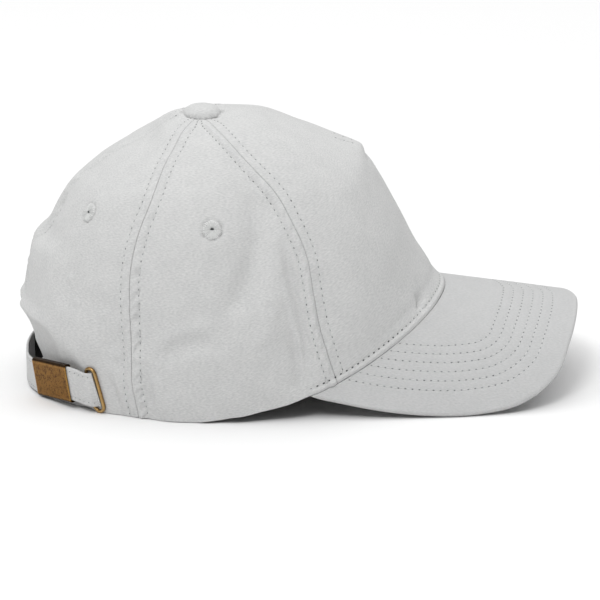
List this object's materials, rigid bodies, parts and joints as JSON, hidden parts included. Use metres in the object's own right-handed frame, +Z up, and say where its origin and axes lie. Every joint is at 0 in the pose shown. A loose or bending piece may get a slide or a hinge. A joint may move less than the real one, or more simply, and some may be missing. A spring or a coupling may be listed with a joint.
{
  "type": "five panel cap",
  "caption": "Soft fabric cap with a tall front panel, a curved stitched peak, a covered button and a rear strap held by a brass slide.",
  "frame": {"origin": "middle of the footprint, on the surface that the cap stands on", "axes": "+X towards the tip of the peak, +Y towards the wearer's left, +Z up through the button"},
  "size_m": [0.271, 0.169, 0.1334],
  "materials": {
    "pale_cloth": "fine cotton twill",
    "black_cloth": "plain woven",
    "aged_brass": "aged, brushed"
  },
  "bodies": {
    "root": {"front_panel": "pale_cloth", "side_panel_right": "pale_cloth", "side_panel_left": "pale_cloth", "back_panel_right": "pale_cloth", "back_panel_left": "pale_cloth", "peak": "pale_cloth", "button": "pale_cloth", "eyelet_side_right": "pale_cloth", "eyelet_side_left": "pale_cloth", "eyelet_back_right": "pale_cloth", "eyelet_back_left": "pale_cloth", "strap": "pale_cloth", "sweatband": "black_cloth", "strap_slide": "aged_brass", "strap_ring": "aged_brass"}
  },
  "joints": []
}
